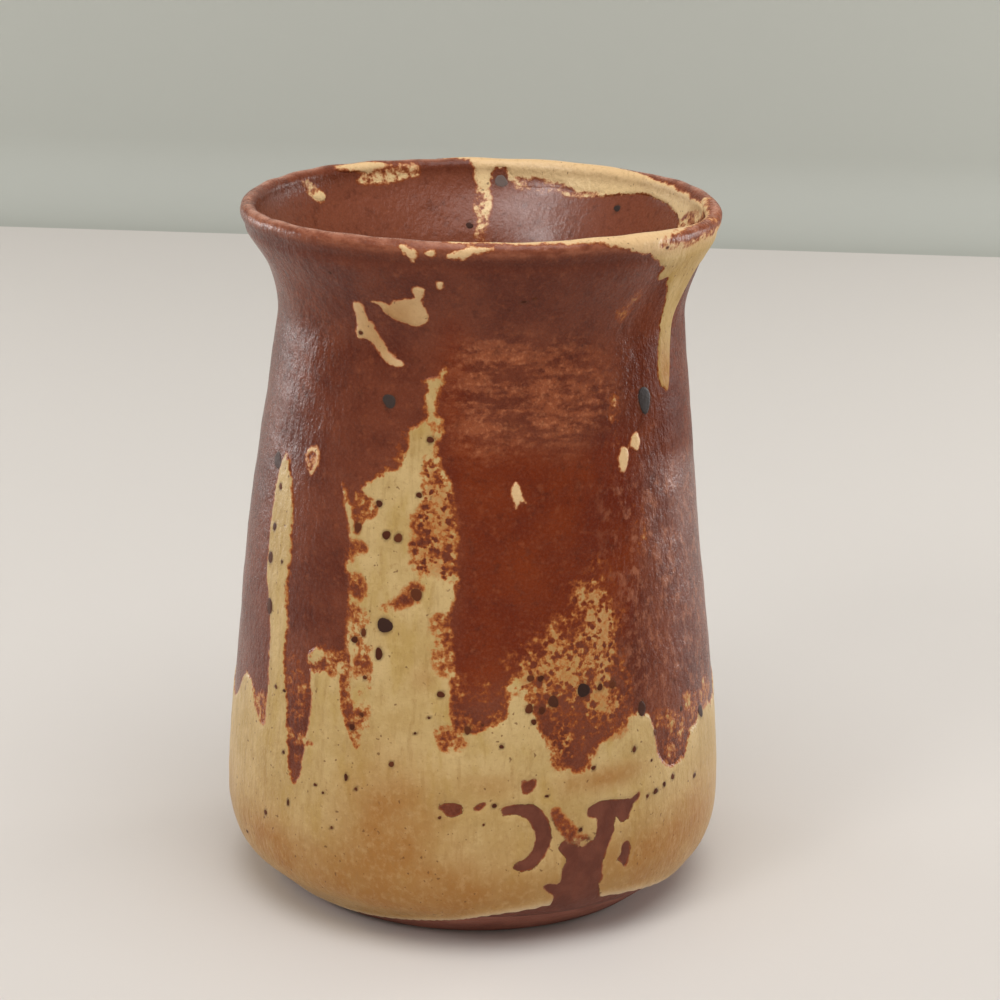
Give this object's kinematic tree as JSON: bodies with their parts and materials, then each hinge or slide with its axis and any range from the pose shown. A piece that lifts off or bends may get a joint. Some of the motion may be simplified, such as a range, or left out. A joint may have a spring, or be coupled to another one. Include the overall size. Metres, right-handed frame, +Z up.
{
  "type": "ceramic jug",
  "caption": "Open-mouthed hand-thrown stoneware jug with a waisted wall, a flared lip and a bevelled flat foot, in iron-red glaze with poured cream glaze runs.",
  "frame": {"origin": "middle of the flat foot, on the surface that the jug stands on", "axes": "+Z up through the mouth; -Y faces the viewer of the picture; +X is the viewer's right"},
  "size_m": [0.1088, 0.1088, 0.1508],
  "materials": {
    "clay": "bare fired red-brown stoneware, dull",
    "iron_glaze": "satin iron-red glaze with fine specks",
    "cream_glaze": "satin cream glaze with iron spots and a rolled edge"
  },
  "bodies": {
    "root": {"clay_body": "clay", "iron_glaze_coat": "iron_glaze", "lower_glaze_skirt": "cream_glaze", "rim_glaze_run": "cream_glaze", "front_lip_glaze": "cream_glaze", "shoulder_splash": "cream_glaze", "slanting_splash": "cream_glaze", "left_drop": "cream_glaze", "centre_drop": "cream_glaze", "right_drop_upper": "cream_glaze", "right_drop_lower": "cream_glaze", "inner_rim_glaze": "cream_glaze", "inner_left_glaze": "cream_glaze", "inner_left_spot": "cream_glaze"}
  },
  "joints": []
}
